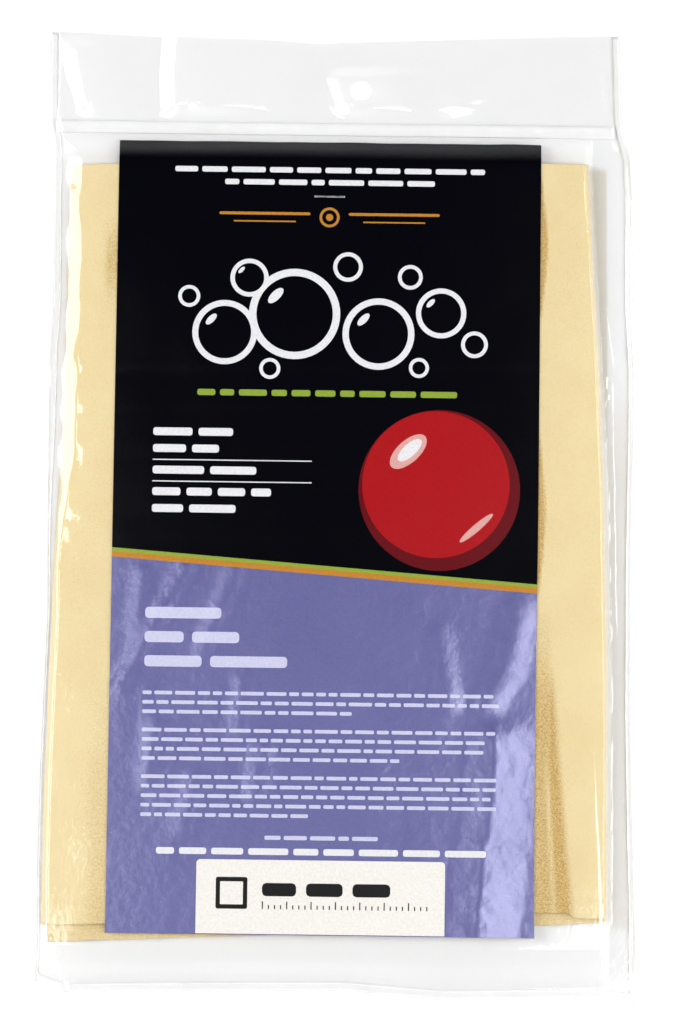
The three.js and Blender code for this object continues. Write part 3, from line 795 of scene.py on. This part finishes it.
# Print: shapes laid over each other on a flat sheet, each with an ink, then cut into one mesh
def rounded(x0, y0, x1, y1, radius, steps=3):
    """A rectangle with round corners, as a loop."""
    radius = min(radius, (x1 - x0) / 2, (y1 - y0) / 2)
    corners = [(x1 - radius, y1 - radius, 0), (x0 + radius, y1 - radius, 90),
               (x0 + radius, y0 + radius, 180), (x1 - radius, y0 + radius, 270)]
    loop = []
    for cx, cy, start in corners:
        for k in range(steps + 1):
            angle = math.radians(start + 90 * k / steps)
            loop.append((cx + radius * math.cos(angle), cy + radius * math.sin(angle)))
    return loop


def disc(cx, cy, rx, ry=None, steps=48, turn=0.0):
    """A circle, or an ellipse turned by an angle, as a loop."""
    ry = ry or rx
    loop = []
    for k in range(steps):
        a = 2 * math.pi * k / steps
        x, y = rx * math.cos(a), ry * math.sin(a)
        loop.append((cx + x * math.cos(turn) - y * math.sin(turn),
                     cy + x * math.sin(turn) + y * math.cos(turn)))
    return loop


def words(draw, left, right, y, height, ink, centred=False, shortest=2.2, longest=6.5):
    """A line of print, as bars of word length."""
    gap = height * 0.75
    bars = []
    x = left
    while True:
        length = height * draw.uniform(shortest, longest)
        if x + length > right:
            break
        bars.append((x, x + length))
        x += length + gap
    shift = (right - bars[-1][1]) / 2 if centred and bars else 0
    return [(rounded(a + shift, y, b + shift, y + height, height * 0.3, 2), ink) for a, b in bars]


def divided(corners, spacing):
    """A loop through the corners, with points along each side."""
    loop = []
    for (x0, y0), (x1, y1) in zip(corners, corners[1:] + corners[:1]):
        count = max(1, round(math.hypot(x1 - x0, y1 - y0) / spacing))
        loop += [(lerp(x0, x1, k / count), lerp(y0, y1, k / count)) for k in range(count)]
    return loop


def printed(name, outline, shapes, inks, lift, thickness, spacing, place, body, node, finer=None):
    """A sheet whose front is cut along its printed shapes. The last of the inks is its bare back and edge.

    lift bends it, place sets it in the frame, and finer is a patch (x0, x1, y0, y1) with a closer mesh.
    """
    xs, ys = [p[0] for p in outline], [p[1] for p in outline]
    x0, x1, y0, y1 = min(xs), max(xs), min(ys), max(ys)
    middle_x, middle_y = (x0 + x1) / 2, (y0 + y1) / 2
    inner_x, inner_y = 1 - 2 * PAPER_EDGE / (x1 - x0), 1 - 2 * PAPER_EDGE / (y1 - y0)
    inner = [(lerp(middle_x, x, inner_x), lerp(middle_y, y, inner_y)) for x, y in outline]
    loops = [(outline, 0), (inner, 0)] + [(divided(loop, spacing), ink) for loop, ink in shapes]
    verts, faces = [], []
    for loop, _ in loops:
        first = len(verts)
        verts += [Vector(p) for p in loop]
        faces.append(list(range(first, first + len(loop))))
    for x in np.arange(x0 + spacing, x1 - spacing / 2, spacing):
        for y in np.arange(y0 + spacing, y1 - spacing / 2, spacing):
            verts.append(Vector((x, y)))
    if finer:
        for x in np.arange(finer[0], finer[1], spacing / 2):
            for y in np.arange(finer[2] + 0.3, finer[3], spacing / 2):
                verts.append(Vector((x, y)))
    flat, _, cells, _, _, owners = delaunay_2d_cdt(verts, [], faces, 1, 1e-4)
    front, ink_of = [], []
    for cell, owner in zip(cells, owners):
        if 0 in owner:
            front.append(tuple(cell))
            ink_of.append(loops[max(owner)][1])
    used, front = compact(front)
    flat = [flat[k] for k in used]
    count = len(flat)
    points = [place(p.x, p.y, lift(p.x, p.y) + thickness) for p in flat]
    points += [place(p.x, p.y, lift(p.x, p.y)) for p in flat]
    back = [tuple(k + count for k in reversed(f)) for f in front]
    sides = dict.fromkeys((f[k], f[(k + 1) % len(f)]) for f in front for k in range(len(f)))
    rim = [(a, a + count, b + count, b) for a, b in sides if (b, a) not in sides]
    piece = make(name, points, front + back + rim, inks, body, [node])
    paper = len(inks) - 1
    slots = ink_of + [paper] * (len(back) + len(rim))
    piece.data.polygons.foreach_set("material_index", slots)
    for polygon in piece.data.polygons:
        polygon.use_smooth = polygon.index < len(front) + len(back)
    return piece


def in_card_frame(u, v, z):
    """From the tilted card's own directions to the frame."""
    c, s = math.cos(CARD_TILT), math.sin(CARD_TILT)
    return [CARD_CENTRE[0] + u * c - v * s, CARD_CENTRE[1] + u * s + v * c, z]


# Soft creases pressed into the card's lower field: ends, half width and height
CARD_CREASES = [
    ((-62, -24), (-89.5, -73), 5, 0.52), ((-42, -26), (-55, -58), 6, 0.42),
    ((-80, -26), (-82.5, -50), 4.5, 0.42), ((-38, -70), (-40, -90), 6.5, 0.42),
    ((-30, -100), (-33, -118), 7.5, 0.38), ((-75, -88), (-78, -112), 5.5, 0.38),
    ((43, -52), (46.5, -80), 7.5, 0.4), ((76, -42), (71, -66), 10, 0.75), ((71, -66), (63, -80), 9, 0.66),
    ((50, -172), (56, -148), 5, 0.28), ((-58, -112), (-63, -132), 7, 0.36)]

# Sharp ones with two flat sides: ends, widths of the left and the right side, and height. Then the patch of the
# card, in its own directions, where the mesh is finer for them
CARD_FACETS = [((66.5, -88), (62, -142), 14, 18, 1.3), ((61.5, -132), (57, -188), 14, 18, 1.3)]
FACET_PATCH = (46, 87, -166, -76)


def pressed(x, y):
    """Height of the card's creases, with a finer crumple near its left edge."""
    high = 0.0
    for (x0, y0), (x1, y1), width, height in CARD_CREASES:
        along = ((x - x0) * (x1 - x0) + (y - y0) * (y1 - y0)) / ((x1 - x0) ** 2 + (y1 - y0) ** 2)
        along = min(1.0, max(0.0, along))
        away = math.hypot(x - lerp(x0, x1, along), y - lerp(y0, y1, along))
        high = max(high, height * bump(away, 0, width))
    for (x0, y0), (x1, y1), rise, fall, height in CARD_FACETS:
        along = (y - y0) / (y1 - y0)
        across = x - lerp(x0, x1, along) - 1.2 * wave(0, y, 13, x0)
        share = across / fall if across > 0 else -across / rise
        ends = ramp(along, -0.1, 0.14) * ramp(1 - along, -0.1, 0.14)
        high = max(high, height * max(0.0, 1 - share) * ends)
    field = ramp(-y, 26, 40)
    crumple = ramp(-x, 66, 80) * (1 - ramp(-y, 80, 120)) * (0.5 - abs(wave(x - 0.5 * y, y, 9, 88.0, 1.6)))
    soft = wave(x - 0.12 * y, y, 15, 89.0, 3.0)
    fine = abs(wave(x + 0.3 * y, y, 8.5, 90.0, 1.4)) * ramp(high, 0.05, 0.3)
    return high + field * (0.28 * crumple + 0.16 * soft - 0.2 * fine)


def card_lift(u, v):
    """Height of the card's underside. Its top end falls over the skin's upper edge."""
    x, y, _ = in_card_frame(u, v, 0)
    fall = 2.75 * max(0.0, (y - SKIN_TOP + 2) / 12.7) ** 2
    curl = 0.07 * wave(u, v, 60, 81.0) + 0.05
    return CARD_UNDER + curl * (1 - ramp(y, 138, 146)) - min(2.8, fall) + max(0.0, pressed(x, y))


# Each ink's colour and, where it differs from the rest, its roughness, gloss, metal and crumple
INK_LOOKS = {
    "black": ((0.0008, 0.0009, 0.0028), 0.2, 0.03),
    "periwinkle": ((0.146, 0.146, 0.385), 0.24, 1.0, 0.14, 0.65),
    "white": ((0.86, 0.86, 0.88),),
    "lilac": ((0.66, 0.66, 0.86),),
    "gold": ((0.58, 0.25, 0.035),),
    "lime": ((0.30, 0.42, 0.05),),
    "red": ((0.44, 0.008, 0.012),),
    "maroon": ((0.14, 0.004, 0.008),),
    "rose": ((0.78, 0.42, 0.38),),
}
INK = {name: k for k, name in enumerate(INK_LOOKS)}
CARD_INKS = [print_material("ink_" + name, *look) for name, look in INK_LOOKS.items()]
CARD_INKS.append(print_material("card_board", (0.72, 0.70, 0.66), 0.6, 0.3))


def card_shapes():
    """A plain layout of colour fields, bubbles, a shiny ball and bars in place of words."""
    draw = random.Random(11)
    half, end = CARD_SIZE[0] / 2 + 1, CARD_SIZE[1] / 2

    def edge(u):
        return -13.0 - 0.075 * u

    def band(top, depth):
        return [(-half, edge(-half) - top - depth), (half, edge(half) - top - depth),
                (half, edge(half) - top), (-half, edge(-half) - top)]

    shapes = [(band(0, end + 10), INK["periwinkle"])]
    shapes += [(band(0, 1.5), INK["lime"]), (band(1.5, 2.3), INK["gold"])]
    shapes += words(draw, -67, 67, 151.5, 2.3, INK["white"], True)
    shapes += words(draw, -45, 45, 146.3, 2.3, INK["white"], True)
    for left, right in ((-46, -8), (8, 46)):
        shapes.append((rounded(left, 133.6, right, 134.8, 0.6), INK["gold"]))
        shapes.append((rounded(left + 6, 130.6, right - 6, 131.2, 0.3), INK["gold"]))
    shapes += [(disc(0, 132.8, 4.2), INK["gold"]), (disc(0, 132.8, 3.1), INK["black"]),
               (disc(0, 132.8, 1.5), INK["gold"])]
    bubbles = [(-43, 84, 13.5), (-14, 92, 19), (21, 84, 15), (47, 93, 10.5), (-33, 107, 8), (8, 112, 6.2),
               (34, 108, 5.2), (-58, 99, 4.6), (61, 80, 5.6), (-24, 69, 4.4), (38, 70, 4.2)]
    for x, y, r in bubbles:
        thick = 1.0 + 0.11 * r
        shapes += [(disc(x, y, r), INK["white"]), (disc(x, y, r - thick), INK["black"])]
        if r > 7:
            shapes.append((disc(x - 0.42 * r, y + 0.4 * r, 0.22 * r, 0.1 * r, 20, 0.8), INK["white"]))
    shapes += words(draw, -58, 58, 57.5, 2.6, INK["lime"], True)
    for y, right in ((40.5, -22), (33.5, -38), (24.5, -12), (15.5, -22), (8.5, -30)):
        shapes += words(draw, -72, right, y, 3.3, INK["white"])
    for y in (30.2, 21.2):
        shapes.append(([(-72, y), (-6, y), (-6, y + 0.45), (-72, y + 0.45)], INK["white"]))
    shapes += [(disc(47, 19, 33.5, steps=96), INK["maroon"]), (disc(45.6, 21.4, 30.6, steps=96), INK["red"]),
               (disc(34, 35, 9.5, 4.6, 40, 0.75), INK["rose"]),
               (disc(34.6, 35.6, 6.4, 2.6, 32, 0.75), INK["white"]),
               (disc(62.5, 3.5, 9, 1.5, 40, 0.72), INK["rose"])]
    for y, right in ((-35.5, -12), (-45.5, -8), (-55.5, -12)):
        shapes += words(draw, -74, right, y, 4.6, INK["lilac"], shortest=3.5, longest=7)
    y = -67.0
    for rows in (3, 4, 5):
        for k in range(rows):
            right = 73 if k < rows - 1 else draw.uniform(-30, 40)
            shapes += words(draw, -74.5, right, y, 1.5, INK["lilac"])
            y -= 3.9
        y -= 3.6
    shapes += words(draw, -27, 27, -126.2, 1.7, INK["lilac"], True)
    shapes += words(draw, -73, 73, -132.4, 2.7, INK["white"], True)
    return shapes


def card_outline():
    """The card's cut edge: its top is a little worn and its right side bowed in."""
    half, end = CARD_SIZE[0] / 2, CARD_SIZE[1] / 2
    top = [(u, end - 0.25 + 0.3 * wave(u, 0, 17, 85.0)) for u in np.linspace(half, -half, 40)]
    loop = divided([(-half, -end), (half, -end)] + top, PRINT_GRID)
    return [(u - 0.6 * bump(v, -95, 115) if u > half - 0.1 else u, v) for u, v in loop]


printed("printed_card", card_outline(), card_shapes(), CARD_INKS, card_lift, CARD_THICK, PRINT_GRID,
        in_card_frame, "contents", "insert_card", FACET_PATCH)


def label():
    """The pale size label: a square, a measuring scale and bars in place of words."""
    draw = random.Random(5)
    half = LABEL_SIZE[0] / 2
    bottom = LABEL_INSET - CARD_SIZE[1] / 2
    top = bottom + LABEL_SIZE[1]
    outline = [(-half, bottom), (half, bottom)]
    for cx, start in ((half - LABEL_CORNER, 0), (-half + LABEL_CORNER, 90)):
        for k in range(7):
            angle = math.radians(start + 15 * k)
            rise = top - LABEL_CORNER + LABEL_CORNER * math.sin(angle)
            outline.append((cx + LABEL_CORNER * math.cos(angle), rise))
    middle = (bottom + top) / 2 + 1.5
    shapes = [(rounded(-43, middle - 6.5, -30, middle + 6.5, 0.8), 1),
              (rounded(-41.2, middle - 4.7, -31.8, middle + 4.7, 0.4), 0)]
    shapes += [(loop, 1) for loop, _ in words(draw, -24, 44, middle - 1.2, 5.4, 1, shortest=1.6, longest=3.2)]
    for k in range(28):
        x = -24 + 2.5 * k
        tall = 3.2 if k % 4 == 0 else 1.7
        shapes.append(([(x, middle - 6.5), (x + 0.5, middle - 6.5), (x + 0.5, middle - 6.5 + tall),
                        (x, middle - 6.5 + tall)], 1))
    looks = [print_material("label_paper", (0.92, 0.885, 0.83), 0.4, 0.3),
             print_material("label_black", (0.006, 0.0055, 0.006), 0.3, 0.2),
             print_material("label_backing", (0.80, 0.78, 0.74), 0.6, 0.3)]

    def on_card(u, v):
        return card_lift(u, v) + CARD_THICK + 0.02

    return printed("size_label_sheet", divided(outline, PRINT_GRID), shapes, looks, on_card, LABEL_THICK,
                   PRINT_GRID, in_card_frame, "contents", "size_label")


label()

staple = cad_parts["staple"]
staple.data.materials.clear()
staple.data.materials.append(wire_material())


# Floor, light and camera
def floor():
    n = Nodes("pale_floor")
    shader = n.principled(Roughness=0.75)
    shader.inputs["Specular IOR Level"].default_value = 0.1
    speck = n.range(n.noise(25, 2.0, 0.5), 0.3, 0.7, 0, 1)
    n.link(n.mix(speck, (0.93, 0.93, 0.93), (0.915, 0.915, 0.915)), shader.inputs["Base Color"])
    size, below = 40.0, -0.0002
    mesh = bpy.data.meshes.new("floor")
    mesh.from_pydata([(-size, -size, below), (size, -size, below), (size, size, below), (-size, size, below)],
                     [], [(0, 1, 2, 3)])
    mesh.materials.append(n.material)
    plane = bpy.data.objects.new("floor", mesh)
    bpy.context.scene.collection.objects.link(plane)


floor()


def softbox(name, place, size, power):
    """A rectangular lamp that aims at the middle of the pack."""
    lamp = bpy.data.lights.new(name, "AREA")
    lamp.shape = "RECTANGLE"
    lamp.size, lamp.size_y = size
    lamp.energy = power
    box = bpy.data.objects.new(name, lamp)
    box.location = place
    box.rotation_euler = (-Vector(place)).to_track_quat("-Z", "Y").to_euler()
    box.visible_camera = False
    bpy.context.scene.collection.objects.link(box)


softbox("left_softbox", (-1.3, 0.14, 0.95), (0.95, 0.95), 16.8)
softbox("right_softbox", (1.45, -0.3, 1.0), (1.6, 1.6), 20.2)
softbox("right_strip", (0.45, -0.12, 1.6), (1.1, 0.28), 8.8)
softbox("left_strip", (-0.38, -0.05, 1.6), (0.6, 0.16), 2.2)


def surroundings():
    """A pale studio that is dark straight above, so that flat film shows what lies under it."""
    world = bpy.data.worlds.new("studio")
    bpy.context.scene.world = world
    world.use_nodes = True
    nodes, links = world.node_tree.nodes, world.node_tree.links
    nodes.clear()
    where = nodes.new("ShaderNodeTexCoord")
    split = nodes.new("ShaderNodeSeparateXYZ")
    shade = nodes.new("ShaderNodeValToRGB")
    shade.color_ramp.interpolation = "EASE"
    shade.color_ramp.elements[0].position = 0.2
    shade.color_ramp.elements[0].color = (0.9, 0.91, 0.92, 1)
    shade.color_ramp.elements[1].position = 0.93
    shade.color_ramp.elements[1].color = (0.006, 0.006, 0.007, 1)
    back = nodes.new("ShaderNodeBackground")
    out = nodes.new("ShaderNodeOutputWorld")
    links.new(where.outputs["Generated"], split.inputs[0])
    links.new(split.outputs["Z"], shade.inputs["Fac"])
    links.new(shade.outputs["Color"], back.inputs["Color"])
    links.new(back.outputs[0], out.inputs["Surface"])


surroundings()


def camera():
    """Looks down on the pack from 1.5 m, leaning 5 degrees so that the foot of the bag is nearer."""
    distance, lean = 1.5, math.radians(5)
    target = Vector((0.0044, -0.0008, 0))
    lens = bpy.data.cameras.new("camera")
    lens.sensor_width = 36
    lens.lens = 126.9
    eye = bpy.data.objects.new("camera", lens)
    eye.location = target + distance * Vector((0, -math.sin(lean), math.cos(lean)))
    eye.rotation_euler = (lean, 0, 0)
    bpy.context.scene.collection.objects.link(eye)
    bpy.context.scene.camera = eye


camera()
scene = bpy.context.scene
scene.view_settings.view_transform = "Standard"
scene.cycles.transparent_max_bounces = 24
